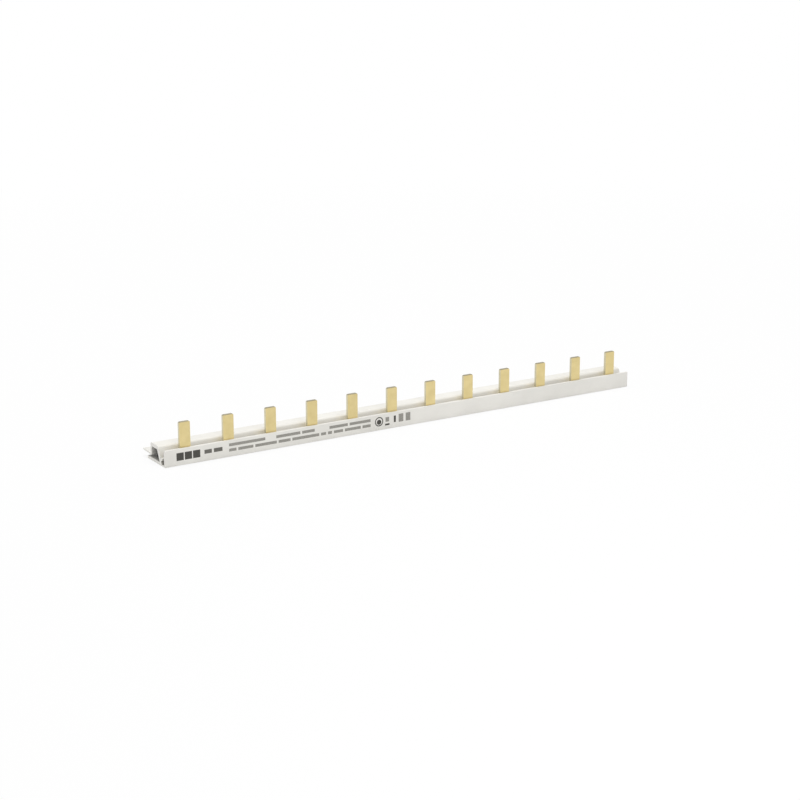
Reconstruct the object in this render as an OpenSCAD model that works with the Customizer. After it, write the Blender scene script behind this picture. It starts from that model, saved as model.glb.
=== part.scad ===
// Single-phase comb busbar: a stamped contact comb in an extruded insulating profile.
// X runs along the row of blades, Y from the printed front wall to the back, Z up.
// The origin is the middle of the bounding box's underside, on the bottom of the base plate.

/* [Row of blades] */
// Number of contact blades
blade_count = 12; // [2:1:24]
// Distance from one blade's middle to the next, one breaker module
blade_pitch = 17.6; // [12:0.1:27]
// Length of profile past the middle of each end blade
end_margin = 8.6; // [6:0.1:14]

/* [Contact comb] */
// Thickness of the copper strip that the comb is stamped from
comb_t = 1.2; // [1:0.1:2]
// Width of one blade
blade_w = 4.3; // [3:0.1:7]
// Height of the blade tips above the underside of the profile
blade_top = 16; // [12:0.1:24]
// Height of the strip that joins the blades, hidden in the slot
spine_h = 4; // [3:0.1:5.2]
// Radius of the corners at each blade's tip
tip_r = 0.7; // [0.2:0.05:1.4]
// Radius of the inside corners where a blade leaves the strip
root_r = 0.5; // [0.2:0.05:1]
// Lead-in chamfer on the front and back edge of each tip
tip_chamfer = 0.25; // [0.05:0.05:0.45]
// Distance from each end of the profile to the end of the strip
comb_recess = 2; // [0:0.1:4]

/* [Front wall and base plate] */
// Height of the front wall above the underside
front_h = 6.4; // [6:0.1:11]
// Thickness of the front wall
front_t = 1; // [0.8:0.05:2]
// Thickness of the base plate
base_t = 1.1; // [0.8:0.05:1.5]
// Thickness of the base plate under the strip, where the slot is sunk into it
slot_floor_t = 0.55; // [0.4:0.05:0.7]
// Depth of the base plate from front to back
base_depth = 15; // [13:0.1:22]
// Radius of the outer edges of both plates
edge_r = 0.3; // [0.1:0.05:0.35]

/* [Divider and clamping lip] */
// Width of the slot between front wall and divider, at the base plate's upper face
slot_w = 2.3; // [2.1:0.05:3]
// Backward lean of the divider from upright
divider_lean = 25; // [5:1:35]
// Thickness of the divider
divider_t = 1.2; // [0.8:0.05:1.6]
// Height of the clamping lip's edge above the underside
lip_z = 2.6; // [2.2:0.1:4.4]
// Thickness of the clamping lip
lip_t = 1.1; // [0.6:0.05:1.2]

/* [Chamber and rear wing] */
// Distance from the front wall's face to the back of the rear wall
rear_y = 12.2; // [11:0.1:16]
// Height of the chamber's roof above the underside
roof_h = 6.8; // [6.4:0.1:11]
// Thickness of the chamber's roof
roof_t = 1.35; // [0.8:0.05:1.6]
// Thickness of the rear wall
rear_t = 0.9; // [0.6:0.05:1.4]
// Outer radius of the shoulder between divider and roof
shoulder_r = 1.4; // [0.8:0.1:2]
// Outer radius of the corner between roof and rear wall
rear_r = 0.9; // [0.6:0.1:1.6]
// Radius of the chamber's two inside corners
hollow_r = 0.8; // [0.2:0.1:1.2]
// Height of the open slit between base plate and rear wing
slit_h = 0.9; // [0.6:0.1:2.4]
// Thickness of the rear wing
wing_t = 0.6; // [0.4:0.05:0.9]
// Length of the rear wing past the rear wall
wing_reach = 6.6; // [2:0.1:9]
// Upward slope of the rear wing towards its free edge
wing_slope = 3; // [0:1:20]

/* [Fit] */
// Gap between the strip and the walls on either side of it
slot_clear = 0.1; // [0.05:0.05:0.15]

/* [Hidden] */

$fn = 48;
arc_steps = 8;
profile_colour = [0.90, 0.89, 0.86];
comb_colour = [0.88, 0.80, 0.58];

row_length = (blade_count - 1) * blade_pitch;
profile_length = row_length + 2 * end_margin;
comb_length = profile_length - 2 * comb_recess;

comb_front = front_t + slot_clear;
comb_back = comb_front + comb_t;
spine_top = slot_floor_t + spine_h;
divider_foot = front_t + slot_w + divider_t / 2;

rear_mid = rear_y - rear_t / 2;
wing_root = [rear_mid, base_t + slit_h + wing_t / 2];
wing_edge = wing_root + (wing_reach + rear_t / 2 - wing_t / 2) * [1, tan(wing_slope)];
depth = max(base_depth, wing_edge.x + wing_t / 2);

// Depth of the divider's front face at height z
function divider_face(z) = front_t + slot_w + (z - base_t) * tan(divider_lean);

// Depth of the divider's back face at height z
function divider_back(z) = divider_face(z) + divider_t / cos(divider_lean);

// Points of an arc about a centre, from one angle to another
function arc(centre, r, from, to) = [
    for (i = [0 : arc_steps]) let (a = from + (to - from) * i / arc_steps) centre + r * [cos(a), sin(a)]
];

// Centre at height z of a round corner of radius r behind a leaning face that is face deep there
function leaning_corner(face, r, z) = [face + r / cos(divider_lean), z];

// Plate of the given section with all four edges rounded
module rounded_plate(size, r) {
    translate([r, 0]) square([size.x - 2 * r, size.y]);
    translate([0, r]) square([size.x, size.y - 2 * r]);
    for (x = [r, size.x - r], y = [r, size.y - r]) translate([x, y]) circle(r = r);
}

// Straight wall of a section between two points, with round ends
module wall(from, to, t) {
    run = to - from;
    a = atan2(run.y, run.x);
    polygon(concat(arc(from, t / 2, a + 90, a + 270), arc(to, t / 2, a - 90, a + 90)));
}

// Divider, roof and rear wall as one solid outline, standing on the base plate
module chamber_outline() {
    shoulder_z = roof_h - shoulder_r;
    shoulder = leaning_corner(divider_face(shoulder_z), shoulder_r, shoulder_z);
    corner = [rear_y - rear_r, roof_h - rear_r];
    polygon(concat(
        [[divider_face(slot_floor_t / 2), slot_floor_t / 2], [rear_y, slot_floor_t / 2]],
        arc(corner, rear_r, 0, 90),
        arc(shoulder, shoulder_r, 90, 180 - divider_lean)
    ));
}

// Hollow of the chamber, from the base plate up to the roof and open backwards through the slit
module chamber_hollow() {
    top = roof_h - roof_t - hollow_r;
    back = rear_y - rear_t;
    polygon(concat(
        [[divider_back(base_t), base_t], [rear_y + 1, base_t], [rear_y + 1, wing_root.y], [back, wing_root.y]],
        arc([back - hollow_r, top], hollow_r, 0, 90),
        arc(leaning_corner(divider_back(top), hollow_r, top), hollow_r, 90, 180 - divider_lean)
    ));
}

// Lip that stands square on the divider and holds the strip against the front wall
module clamping_lip() {
    edge = [comb_back + slot_clear + lip_t / 2, lip_z];
    to_divider = (divider_face(edge.y) - edge.x) * cos(divider_lean) + divider_t / 2;
    wall(edge, edge + to_divider * [cos(divider_lean), -sin(divider_lean)], lip_t);
}

// Cross-section of the extrusion: x is the depth from the front face, y the height
module profile_section() {
    rounded_plate([front_t, front_h], edge_r);
    translate([front_t / 2, 0]) square([divider_foot + edge_r - front_t / 2, slot_floor_t]);
    translate([divider_foot, 0]) rounded_plate([base_depth - divider_foot, base_t], edge_r);
    difference() {
        chamber_outline();
        chamber_hollow();
    }
    clamping_lip();
    wall(wing_root, wing_edge, wing_t);
}

module insulating_profile() {
    color(profile_colour)
        translate([-profile_length / 2, -depth / 2, 0])
            rotate([90, 0, 90]) linear_extrude(profile_length) profile_section();
}

// Blade outline, from inside the strip to a tip with round corners
module blade_outline() {
    half = blade_w / 2;
    translate([-half, spine_top - root_r]) square([blade_w, blade_top - tip_r - spine_top + root_r]);
    translate([tip_r - half, spine_top]) square([blade_w - 2 * tip_r, blade_top - spine_top]);
    for (side = [-1, 1]) {
        translate([side * (half - tip_r), blade_top - tip_r]) circle(r = tip_r);
        difference() {
            translate([side * (half + root_r / 2), spine_top + root_r / 2]) square(root_r, center = true);
            translate([side * (half + root_r), spine_top + root_r]) circle(r = root_r);
        }
    }
}

// Face of the stamped comb: the strip and its blades
module comb_outline() {
    translate([-comb_length / 2, slot_floor_t]) square([comb_length, spine_h]);
    for (i = [0 : blade_count - 1]) translate([i * blade_pitch - row_length / 2, 0]) blade_outline();
}

// Side view of the comb, with the lead-in chamfers on the tip
module comb_side() {
    polygon([
        [comb_front, slot_floor_t], [comb_back, slot_floor_t],
        [comb_back, blade_top - tip_chamfer], [comb_back - tip_chamfer, blade_top],
        [comb_front + tip_chamfer, blade_top], [comb_front, blade_top - tip_chamfer]
    ]);
}

module contact_comb() {
    color(comb_colour)
        translate([0, -depth / 2, 0])
            intersection() {
                translate([0, comb_back, 0]) rotate([90, 0, 0]) linear_extrude(comb_t) comb_outline();
                translate([-comb_length / 2, 0, 0]) rotate([90, 0, 90]) linear_extrude(comb_length) comb_side();
            }
}

insulating_profile();
contact_comb();
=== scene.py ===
"""Comb busbar: finishes, printed marks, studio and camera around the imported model.

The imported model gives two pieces, an extruded insulating profile and a stamped contact comb.
Both keep their meshes and get their finishes here. The print on the front wall is added.
"""

import logging
import math
from dataclasses import dataclass
from enum import Enum
from typing import Any, Iterable

import bmesh
import bpy
from mathutils import Matrix, Vector


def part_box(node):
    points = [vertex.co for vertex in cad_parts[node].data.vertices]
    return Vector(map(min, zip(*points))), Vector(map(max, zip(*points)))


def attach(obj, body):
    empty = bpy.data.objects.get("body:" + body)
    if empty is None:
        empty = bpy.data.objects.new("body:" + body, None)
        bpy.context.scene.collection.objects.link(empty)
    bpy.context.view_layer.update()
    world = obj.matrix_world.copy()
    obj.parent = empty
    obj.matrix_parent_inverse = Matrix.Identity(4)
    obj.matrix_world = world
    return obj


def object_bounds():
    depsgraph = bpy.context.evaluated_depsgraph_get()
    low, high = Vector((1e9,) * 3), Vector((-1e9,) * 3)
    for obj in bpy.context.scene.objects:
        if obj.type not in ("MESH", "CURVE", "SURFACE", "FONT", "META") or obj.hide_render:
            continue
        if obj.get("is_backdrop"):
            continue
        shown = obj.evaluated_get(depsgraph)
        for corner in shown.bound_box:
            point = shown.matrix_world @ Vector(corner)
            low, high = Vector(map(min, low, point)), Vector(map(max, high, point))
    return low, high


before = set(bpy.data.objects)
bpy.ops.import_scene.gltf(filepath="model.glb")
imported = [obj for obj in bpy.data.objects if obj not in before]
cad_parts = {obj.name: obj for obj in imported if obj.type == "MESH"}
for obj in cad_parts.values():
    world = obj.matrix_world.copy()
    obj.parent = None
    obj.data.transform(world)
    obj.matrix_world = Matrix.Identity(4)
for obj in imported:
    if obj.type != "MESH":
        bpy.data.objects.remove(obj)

LOG = logging.getLogger("comb_busbar")
MM = 0.001
ROOT = "root"
WHITE = "#FFFFFF"
FACING = 0.9  # a face looks along an axis when its normal's share of that axis is past this


def linear(hex_colour: str) -> tuple[float, float, float, float]:
    """Turns an sRGB hex colour into linear RGBA.

    Args:
        hex_colour: Six hex digits with a leading hash sign.

    Returns:
        The colour as linear red, green, blue and an alpha of 1.
    """
    channels = [int(hex_colour[i : i + 2], 16) / 255 for i in (1, 3, 5)]
    red, green, blue = (c / 12.92 if c <= 0.04045 else ((c + 0.055) / 1.055) ** 2.4 for c in channels)
    return red, green, blue, 1.0


def add_node(
    tree: bpy.types.NodeTree,
    kind: str,
    inputs: dict[Any, Any] | None = None,
    stops: Iterable[tuple[float, str]] = (),
    **settings: Any,
) -> bpy.types.Node:
    """Adds one node with its settings, values and links.

    Args:
        tree: The node tree that receives the node.
        kind: The node's type name without the ShaderNode prefix.
        inputs: Socket name or index to a value, or to an output socket to link from.
        stops: A colour ramp's two positions from 0 to 1, with their sRGB hex colours.
        **settings: Properties to set on the node.

    Returns:
        The new node.
    """
    node = tree.nodes.new("ShaderNode" + kind)
    for key, value in settings.items():
        setattr(node, key, value)
    for index, (position, colour) in enumerate(stops):
        node.color_ramp.elements[index].position = position
        node.color_ramp.elements[index].color = linear(colour)
    for key, value in (inputs or {}).items():
        if isinstance(value, bpy.types.NodeSocket):
            tree.links.new(value, node.inputs[key])
        else:
            node.inputs[key].default_value = value
    return node


def new_material(name: str) -> tuple[bpy.types.Material, bpy.types.NodeTree, bpy.types.Node]:
    """Starts a node material with an empty tree.

    Args:
        name: The material's name.

    Returns:
        The material, its node tree and its output node.
    """
    material = bpy.data.materials.new(name)
    material.use_nodes = True
    tree = material.node_tree
    tree.nodes.clear()
    return material, tree, tree.nodes.new("ShaderNodeOutputMaterial")


def link_object(name: str, data: bpy.types.ID) -> bpy.types.Object:
    """Puts a new object into the scene.

    Args:
        name: The object's name.
        data: Its mesh, lamp or camera.

    Returns:
        The new object.
    """
    thing = bpy.data.objects.new(name, data)
    bpy.context.collection.objects.link(thing)
    return thing


@dataclass(frozen=True)
class ExtrudedPvc:
    """Rigid PVC drawn through a die: satin, warm grey-white, with faint lines along the bar.

    The saw leaves the two cut ends duller and finely scratched. They are also painted paler, as
    painted light. Painted shade greys the places that their surroundings shelter, deep in the
    chamber and in the slot.
    """

    name: str = "extruded_pvc"
    colour: str = "#ECEAE4"
    shade: str = "#E5E3DD"
    cloud_stops: tuple[float, float] = (0.35, 0.65)
    cloud_mm: float = 14.0
    # Painted light: the cut ends are painted paler than the rest of the profile.
    cut_painted_light: str = "#F2F0EA"
    # Painted shade: the dark colour that sheltered places in the chamber and the slot are mixed towards.
    painted_shade_colour: str = "#4A4948"
    shelter_mm: float = 8.0
    shelter_samples: int = 8
    shelter_range: tuple[float, float] = (-0.15, 0.66)
    ior: float = 1.53
    roughness: float = 0.42
    roughness_spread: float = 0.05
    # Real die lines and saw scratches are finer. These are as coarse as they need to be to show.
    die_line_mm: float = 0.35
    die_line_stretch: float = 0.02
    saw_line_mm: float = 0.3
    saw_line_stretch: float = 0.1
    saw_angle: float = 35
    bump_strength: float = 0.25
    bump_mm: float = 0.02

    def build(self) -> bpy.types.Material:
        """Builds the material.

        Returns:
            The material.
        """
        material, tree, output = new_material(self.name)
        place = add_node(tree, "TexCoord")
        spot = place.outputs["Object"]
        along = add_node(tree, "Mapping", {"Vector": spot, "Scale": (self.die_line_stretch, 1, 1)})
        die_lines = add_node(
            tree,
            "TexNoise",
            {"Vector": along.outputs[0], "Scale": 1 / (self.die_line_mm * MM), "Detail": 3.0},
        ).outputs["Fac"]
        tilt = (math.radians(self.saw_angle), 0, 0)
        across = add_node(
            tree, "Mapping", {"Vector": spot, "Rotation": tilt, "Scale": (1, self.saw_line_stretch, 1)}
        )
        saw_lines = add_node(
            tree,
            "TexNoise",
            {"Vector": across.outputs[0], "Scale": 1 / (self.saw_line_mm * MM), "Detail": 3.0},
        ).outputs["Fac"]
        clouds = add_node(
            tree, "TexNoise", {"Vector": spot, "Scale": 1 / (self.cloud_mm * MM), "Detail": 4.0}
        )
        tone = add_node(
            tree,
            "ValToRGB",
            {"Fac": clouds.outputs["Fac"]},
            stops=zip(self.cloud_stops, (self.shade, self.colour)),
        )

        facing = add_node(tree, "SeparateXYZ", {0: place.outputs["Normal"]})
        endways = add_node(tree, "Math", {0: facing.outputs["X"]}, operation="ABSOLUTE")
        cut = add_node(tree, "Math", {0: endways.outputs[0], 1: FACING}, operation="GREATER_THAN")
        # Painted light: faces that look along the bar, the cut ends, take the paler colour.
        unshaded = add_node(
            tree,
            "Mix",
            {"Factor": cut.outputs[0], 6: tone.outputs["Color"], 7: linear(self.cut_painted_light)},
            data_type="RGBA",
        )
        # Painted shade: ambient occlusion darkens the sheltered places towards the painted shade colour.
        shelter = add_node(
            tree,
            "AmbientOcclusion",
            {"Distance": self.shelter_mm * MM},
            samples=self.shelter_samples,
            only_local=True,
        )
        low, high = self.shelter_range
        open_share = add_node(
            tree, "MapRange", {"Value": shelter.outputs["AO"], "From Min": low, "From Max": high}
        )
        colour = add_node(
            tree,
            "Mix",
            {"Factor": open_share.outputs[0], 6: linear(self.painted_shade_colour), 7: unshaded.outputs[2]},
            data_type="RGBA",
        )

        rough = add_node(
            tree,
            "MapRange",
            {
                "Value": die_lines,
                "To Min": self.roughness - self.roughness_spread,
                "To Max": self.roughness + self.roughness_spread,
            },
        )
        height = add_node(
            tree, "Mix", {"Factor": cut.outputs[0], "A": die_lines, "B": saw_lines}, data_type="FLOAT"
        )
        bump = add_node(
            tree,
            "Bump",
            {"Height": height.outputs[0], "Strength": self.bump_strength, "Distance": self.bump_mm * MM},
        )
        shader = add_node(
            tree,
            "BsdfPrincipled",
            {
                "Base Color": colour.outputs[2],
                "Roughness": rough.outputs[0],
                "IOR": self.ior,
                "Normal": bump.outputs[0],
            },
        )
        tree.links.new(shader.outputs[0], output.inputs["Surface"])
        return material


@dataclass(frozen=True)
class PlatedStrip:
    """Copper strip with a pale gold plating: satin rolled faces and darker stamped edges.

    The rolled faces have a fine grain along the strip. The shears leave strokes across the edges.
    The upward faces at the tips are painted darkest, as painted shade.
    """

    name: str = "plated_strip"
    colour: str = "#E5D39C"
    shade: str = "#DBC992"
    edge_colour: str = "#D9D2B6"
    edge_shade: str = "#CBC3A6"
    # Painted shade: the upward faces at the tips take this darker colour.
    tip_painted_shade: str = "#9E967E"
    tip_facing: float = 0.5
    tone_stops: tuple[float, float] = (0.3, 0.7)
    roughness: float = 0.38
    edge_roughness: float = 0.3
    cloud_mm: float = 3.0
    # The grain of rolling and the strokes of shears are finer. These are coarse enough to show.
    grain_mm: float = 0.12
    grain_stretch: float = 0.08
    stroke_mm: float = 0.24
    stroke_stretch: float = 0.1
    bump_strength: float = 0.3
    bump_mm: float = 0.02

    def build(self) -> bpy.types.Material:
        """Builds the material.

        Returns:
            The material.
        """
        material, tree, output = new_material(self.name)
        place = add_node(tree, "TexCoord")
        spot = place.outputs["Object"]
        along = add_node(tree, "Mapping", {"Vector": spot, "Scale": (self.grain_stretch, 1, 1)})
        grain = add_node(
            tree, "TexNoise", {"Vector": along.outputs[0], "Scale": 1 / (self.grain_mm * MM), "Detail": 2.0}
        ).outputs["Fac"]
        across = add_node(tree, "Mapping", {"Vector": spot, "Scale": (1, self.stroke_stretch, 1)})
        strokes = add_node(
            tree,
            "TexNoise",
            {"Vector": across.outputs[0], "Scale": 1 / (self.stroke_mm * MM), "Detail": 2.0},
        ).outputs["Fac"]
        clouds = add_node(
            tree, "TexNoise", {"Vector": spot, "Scale": 1 / (self.cloud_mm * MM), "Detail": 3.0}
        )
        face = add_node(
            tree,
            "ValToRGB",
            {"Fac": clouds.outputs["Fac"]},
            stops=zip(self.tone_stops, (self.shade, self.colour)),
        )
        edge = add_node(
            tree,
            "ValToRGB",
            {"Fac": strokes},
            stops=zip(self.tone_stops, (self.edge_shade, self.edge_colour)),
        )

        facing = add_node(tree, "SeparateXYZ", {0: place.outputs["Normal"]})
        broadways = add_node(tree, "Math", {0: facing.outputs["Y"]}, operation="ABSOLUTE")
        stamped = add_node(tree, "Math", {0: broadways.outputs[0], 1: FACING}, operation="LESS_THAN")
        # Painted shade on the faces that look upward, at the tips.
        shaded_tip = add_node(
            tree, "Math", {0: facing.outputs["Z"], 1: self.tip_facing}, operation="GREATER_THAN"
        )
        edge = add_node(
            tree,
            "Mix",
            {"Factor": shaded_tip.outputs[0], 6: edge.outputs["Color"], 7: linear(self.tip_painted_shade)},
            data_type="RGBA",
        )
        colour = add_node(
            tree,
            "Mix",
            {"Factor": stamped.outputs[0], 6: face.outputs["Color"], 7: edge.outputs[2]},
            data_type="RGBA",
        )
        height = add_node(
            tree, "Mix", {"Factor": stamped.outputs[0], "A": grain, "B": strokes}, data_type="FLOAT"
        )
        rough = add_node(
            tree,
            "Mix",
            {"Factor": stamped.outputs[0], "A": self.roughness, "B": self.edge_roughness},
            data_type="FLOAT",
        )
        bump = add_node(
            tree,
            "Bump",
            {"Height": height.outputs[0], "Strength": self.bump_strength, "Distance": self.bump_mm * MM},
        )
        shader = add_node(
            tree,
            "BsdfPrincipled",
            {
                "Base Color": colour.outputs[2],
                "Metallic": 1.0,
                "Roughness": rough.outputs[0],
                "Normal": bump.outputs[0],
            },
        )
        tree.links.new(shader.outputs[0], output.inputs["Surface"])
        return material


@dataclass(frozen=True)
class PrintInk:
    """Solvent ink laid down by a pad: matt, a little uneven, never fully black."""

    name: str
    colour: str
    thin_colour: str
    tone_stops: tuple[float, float] = (0.35, 0.7)
    # Real specks are finer. These are coarse enough to show.
    speck_mm: float = 0.25
    roughness: float = 0.6
    ior: float = 1.5

    def build(self) -> bpy.types.Material:
        """Builds the material.

        Returns:
            The material.
        """
        material, tree, output = new_material(self.name)
        place = add_node(tree, "TexCoord")
        specks = add_node(
            tree,
            "TexNoise",
            {"Vector": place.outputs["Object"], "Scale": 1 / (self.speck_mm * MM), "Detail": 3.0},
        )
        colour = add_node(
            tree,
            "ValToRGB",
            {"Fac": specks.outputs["Fac"]},
            stops=zip(self.tone_stops, (self.colour, self.thin_colour)),
        )
        shader = add_node(
            tree,
            "BsdfPrincipled",
            {"Base Color": colour.outputs["Color"], "Roughness": self.roughness, "IOR": self.ior},
        )
        tree.links.new(shader.outputs[0], output.inputs["Surface"])
        return material


class MarkShape(Enum):
    """Plain shapes that the print is made of."""

    BAR = "bar"
    RING = "ring"
    DISC = "disc"


@dataclass(frozen=True)
class Mark:
    """One printed shape, in millimetres.

    u and v are its middle's distance from the profile's left end and from its underside. A round
    mark's width is its diameter, and a ring's height is its line's width.
    """

    kind: MarkShape
    u: float
    v: float
    width: float
    height: float = 0.0


@dataclass(frozen=True)
class BarRow:
    """A row of plain bars in the place of words, in millimetres.

    left is where the first bar starts, v the row's middle height and height the bars' own.
    """

    left: float
    v: float
    height: float
    lengths: tuple[float, ...]
    space: float = 0.8

    def marks(self) -> list[Mark]:
        """Lays the bars out from left to right.

        Returns:
            The bars.
        """
        marks = []
        left = self.left
        for length in self.lengths:
            marks.append(Mark(MarkShape.BAR, left + length / 2, self.v, length, self.height))
            left += length + self.space
        return marks


@dataclass
class FrontPrint:
    """Generic print on the front wall: dark blocks, a heading, rows of plain bars and small signs.

    low is the profile's lowest corner in metres. All other lengths are in millimetres.
    """

    low: Vector
    film: float = 0.01
    round_segments: int = 32
    blocks: BarRow = BarRow(4.5, 3.4, 2.9, (2.9, 2.9, 2.9), 0.4)
    heading: BarRow = BarRow(15.7, 3.6, 1.5, (3.0, 3.5))
    rows: tuple[BarRow, ...] = (
        BarRow(25.7, 4.6, 1.1, (15.0,)),
        BarRow(45.3, 4.6, 1.1, (10.2, 5.4)),
        BarRow(68.1, 4.6, 1.1, (8.0, 9.3)),
        BarRow(25.7, 2.6, 1.1, (3.0, 6.2, 9.0, 5.0, 11.5, 2.2, 1.8, 4.0, 7.0, 3.6)),
    )
    fields: tuple[Mark, ...] = (
        Mark(MarkShape.BAR, 93.7, 3.9, 1.6, 1.8),
        Mark(MarkShape.BAR, 99.9, 3.7, 2.1, 3.2),
        Mark(MarkShape.BAR, 103.1, 3.7, 2.1, 3.2),
    )
    signs: tuple[Mark, ...] = (
        Mark(MarkShape.RING, 90.0, 3.5, 3.7, 0.4),
        Mark(MarkShape.DISC, 90.0, 3.3, 2.0),
        Mark(MarkShape.BAR, 93.7, 1.9, 2.0, 0.7),
        Mark(MarkShape.BAR, 97.1, 3.6, 0.9, 2.6),
    )
    dark: PrintInk = PrintInk("ink_dark", "#3C3A35", "#4A4843")
    grey: PrintInk = PrintInk("ink_heading", "#5E5C56", "#706E68")
    pale: PrintInk = PrintInk("ink_small_print", "#8B8982", "#A3A19A")
    black: PrintInk = PrintInk("ink_signs", "#3A3833", "#4C4A44")

    def shape(self, mark: Mark) -> bmesh.types.BMesh:
        """Makes one flat shape on the front wall.

        Args:
            mark: The shape's kind, place and size.

        Returns:
            The shape as a thin closed mesh in metres.
        """
        mesh = bmesh.new()
        if mark.kind is MarkShape.BAR:
            bmesh.ops.create_grid(mesh, x_segments=1, y_segments=1, size=0.5)
            bmesh.ops.scale(mesh, vec=(mark.width, mark.height, 1), verts=mesh.verts)
        else:
            bmesh.ops.create_circle(mesh, cap_ends=True, segments=self.round_segments, radius=mark.width / 2)
            if mark.kind is MarkShape.RING:
                middle = list(mesh.faces)
                bmesh.ops.inset_region(
                    mesh, faces=middle, thickness=mark.height, use_boundary=True, use_even_offset=True
                )
                bmesh.ops.delete(mesh, geom=middle, context="FACES_ONLY")
        bmesh.ops.solidify(mesh, geom=mesh.faces, thickness=self.film)
        bmesh.ops.recalc_face_normals(mesh, faces=mesh.faces)
        bmesh.ops.rotate(mesh, matrix=Matrix.Rotation(math.radians(90), 3, "X"), verts=mesh.verts)
        bmesh.ops.scale(mesh, vec=(MM, MM, MM), verts=mesh.verts)
        back = max(vert.co.y for vert in mesh.verts)
        place = Vector((self.low.x + mark.u * MM, self.low.y - back, self.low.z + mark.v * MM))
        bmesh.ops.translate(mesh, vec=place, verts=mesh.verts)
        return mesh

    def piece(self, name: str, marks: Iterable[Mark], ink: PrintInk) -> bpy.types.Object:
        """Joins marks into one printed piece.

        Args:
            name: The piece's name.
            marks: The marks, in the order that they are joined.
            ink: The ink that they are printed in.

        Returns:
            The new object, riding on the model's body.
        """
        data = bpy.data.meshes.new(name)
        whole = bmesh.new()
        for mark in marks:
            part = self.shape(mark)
            part.to_mesh(data)
            part.free()
            whole.from_mesh(data)
        whole.to_mesh(data)
        whole.free()
        thing = link_object(name, data)
        data.materials.append(ink.build())
        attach(thing, ROOT)
        return thing

    def build(self) -> list[bpy.types.Object]:
        """Prints every group of marks.

        Returns:
            The printed pieces.
        """
        small_print = [mark for row in self.rows for mark in row.marks()]
        return [
            self.piece("print_blocks", self.blocks.marks(), self.dark),
            self.piece("print_heading", self.heading.marks(), self.grey),
            self.piece("print_rows", small_print + list(self.fields), self.pale),
            self.piece("print_signs", self.signs, self.black),
        ]


@dataclass
class Busbar:
    """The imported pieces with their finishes."""

    plastic: ExtrudedPvc = ExtrudedPvc()
    metal: PlatedStrip = PlatedStrip()

    def dress(self, node: str, material: bpy.types.Material) -> bpy.types.Object:
        """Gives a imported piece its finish.

        Args:
            node: The piece's name.
            material: Its finish.

        Returns:
            The piece's object.
        """
        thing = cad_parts[node]
        thing.data.materials.clear()
        thing.data.materials.append(material)
        return thing

    def build(self) -> list[bpy.types.Object]:
        """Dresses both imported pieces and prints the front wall.

        Returns:
            The busbar's pieces.
        """
        low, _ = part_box("insulating_profile")
        dressed = [
            self.dress("insulating_profile", self.plastic.build()),
            self.dress("contact_comb", self.metal.build()),
        ]
        return dressed + FrontPrint(Vector(low)).build()


@dataclass(frozen=True)
class Lamp:
    """One soft square lamp.

    place is where it hangs, from the object's middle, and size the length of its side, in metres.
    """

    name: str
    place: tuple[float, float, float]
    size: float
    watts: float

    def hang(self, middle: Vector) -> bpy.types.Object:
        """Hangs the lamp and points it at the object.

        Args:
            middle: The object's middle.

        Returns:
            The lamp.
        """
        light = bpy.data.lights.new(self.name, "AREA")
        light.shape = "SQUARE"
        light.size = self.size
        light.energy = self.watts
        thing = link_object(self.name, light)
        thing.location = middle + Vector(self.place)
        thing.rotation_mode = "QUATERNION"
        thing.rotation_quaternion = (middle - thing.location).to_track_quat("-Z", "Y")
        return thing


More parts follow.
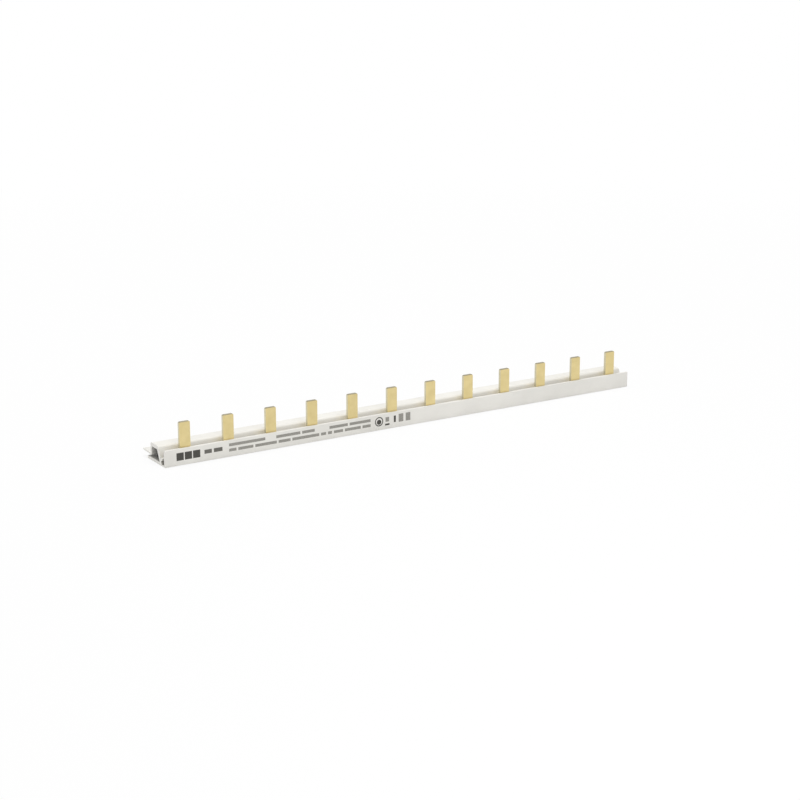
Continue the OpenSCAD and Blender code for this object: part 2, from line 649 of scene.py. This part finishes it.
@dataclass
class Studio:
    """White floor, even surroundings, soft lamps and the camera.

    low and high are the object's lowest and highest corner. The camera looks at a point that counts
    from the middle of the front wall's foot. The lens, the sensor and what ends in _mm are in
    millimetres, angles in degrees and all other lengths in metres. The floor's glow grows from its
    first share to its second between the two reaches from the middle.
    """

    low: Vector
    high: Vector
    lens: float = 85.83
    sensor: float = 36.0
    azimuth: float = -32.04
    elevation: float = 15.62
    distance_mm: float = 733.4
    aim_mm: tuple[float, float, float] = (-5.95, 0.0, 10.75)
    clip: tuple[float, float] = (0.05, 50.0)
    floor_size: float = 30.0
    floor_colour: str = "#F2F2F2"
    glow_reach: tuple[float, float] = (0.12, 0.6)
    glow_share: tuple[float, float] = (0.86, 1.0)
    surround: float = 0.575
    lamps: tuple[Lamp, ...] = (
        Lamp("top_lamp", (0.03, 0.13, 1.0), 0.6, 5.5),
        Lamp("front_lamp", (-0.05, -0.45, 0.18), 0.3, 0.35),
    )

    def seen(self, tree: bpy.types.NodeTree) -> bpy.types.NodeSocket:
        """Picks the rays that show the surroundings, directly, in gloss or through glass.

        Args:
            tree: The floor's or the world's node tree.

        Returns:
            1 for these rays, and 0 for those that only carry light.
        """
        rays = add_node(tree, "LightPath").outputs
        shiny = add_node(
            tree, "Math", {0: rays["Is Glossy Ray"], 1: rays["Is Transmission Ray"]}, operation="MAXIMUM"
        )
        seen = add_node(
            tree, "Math", {0: rays["Is Camera Ray"], 1: shiny.outputs[0]}, operation="MAXIMUM"
        )
        return seen.outputs[0]

    def floor(self) -> bpy.types.Object:
        """Lays the white floor, which keeps a faint shadow under the bar.

        Where it is seen, it glows white, a little less so close to the bar.

        Returns:
            The floor.
        """
        mesh = bmesh.new()
        bmesh.ops.create_grid(mesh, x_segments=1, y_segments=1, size=self.floor_size / 2)
        bmesh.ops.translate(mesh, vec=(0, 0, self.low.z), verts=mesh.verts)
        data = bpy.data.meshes.new("floor")
        mesh.to_mesh(data)
        mesh.free()
        thing = link_object("floor", data)
        material, tree, output = new_material("floor_white")
        place = add_node(tree, "TexCoord")
        reach = add_node(tree, "VectorMath", {0: place.outputs["Object"]}, operation="LENGTH")
        near, far = self.glow_reach
        least, most = self.glow_share
        whitened = add_node(
            tree,
            "MapRange",
            {
                "Value": reach.outputs["Value"],
                "From Min": near,
                "From Max": far,
                "To Min": least,
                "To Max": most,
            },
        )
        share = add_node(
            tree, "Math", {0: self.seen(tree), 1: whitened.outputs[0]}, operation="MULTIPLY"
        )
        paint = add_node(tree, "BsdfDiffuse", {"Color": linear(self.floor_colour)})
        glow = add_node(tree, "Emission", {"Color": linear(WHITE), "Strength": 1.0})
        mix = add_node(tree, "MixShader", {0: share.outputs[0], 1: paint.outputs[0], 2: glow.outputs[0]})
        tree.links.new(mix.outputs[0], output.inputs["Surface"])
        data.materials.append(material)
        thing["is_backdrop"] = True
        return thing

    def surroundings(self) -> bpy.types.World:
        """Sets the even white surroundings, full white where they are seen.

        Returns:
            The world.
        """
        world = bpy.data.worlds.new("surroundings")
        world.use_nodes = True
        tree = world.node_tree
        tree.nodes.clear()
        output = tree.nodes.new("ShaderNodeOutputWorld")
        strength = add_node(
            tree, "MapRange", {"Value": self.seen(tree), "To Min": self.surround, "To Max": 1.0}
        )
        sky = add_node(tree, "Background", {"Color": linear(WHITE), "Strength": strength.outputs[0]})
        tree.links.new(sky.outputs[0], output.inputs["Surface"])
        bpy.context.scene.world = world
        return world

    def camera(self) -> bpy.types.Object:
        """Sets up the camera at the viewing angle.

        Returns:
            The camera.
        """
        data = bpy.data.cameras.new("camera")
        data.lens = self.lens
        data.sensor_width = self.sensor
        data.clip_start, data.clip_end = self.clip
        thing = link_object("camera", data)
        turn = math.radians(self.azimuth)
        rise = math.radians(self.elevation)
        back = Vector((math.sin(turn) * math.cos(rise), -math.cos(turn) * math.cos(rise), math.sin(rise)))
        front_foot = Vector((0, self.low.y, self.low.z))
        thing.location = front_foot + Vector(self.aim_mm) * MM + back * self.distance_mm * MM
        thing.rotation_mode = "QUATERNION"
        thing.rotation_quaternion = (-back).to_track_quat("-Z", "Y")
        bpy.context.scene.camera = thing
        return thing

    def build(self) -> None:
        """Builds the whole studio."""
        self.floor()
        self.surroundings()
        middle = (self.low + self.high) / 2
        for lamp in self.lamps:
            lamp.hang(middle)
        self.camera()
        bpy.context.scene.view_settings.view_transform = "Standard"


def main() -> None:
    """Builds the busbar and its studio."""
    logging.basicConfig(level=logging.INFO, format="%(name)s: %(message)s")
    cad_box = [list(corner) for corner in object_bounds()]
    low, high = (Vector(corner) for corner in cad_box)
    for thing in Busbar().build():
        LOG.info("%s: %d faces", thing.name, len(thing.data.polygons))
    Studio(low, high).build()


if __name__ == "__main__":
    main()
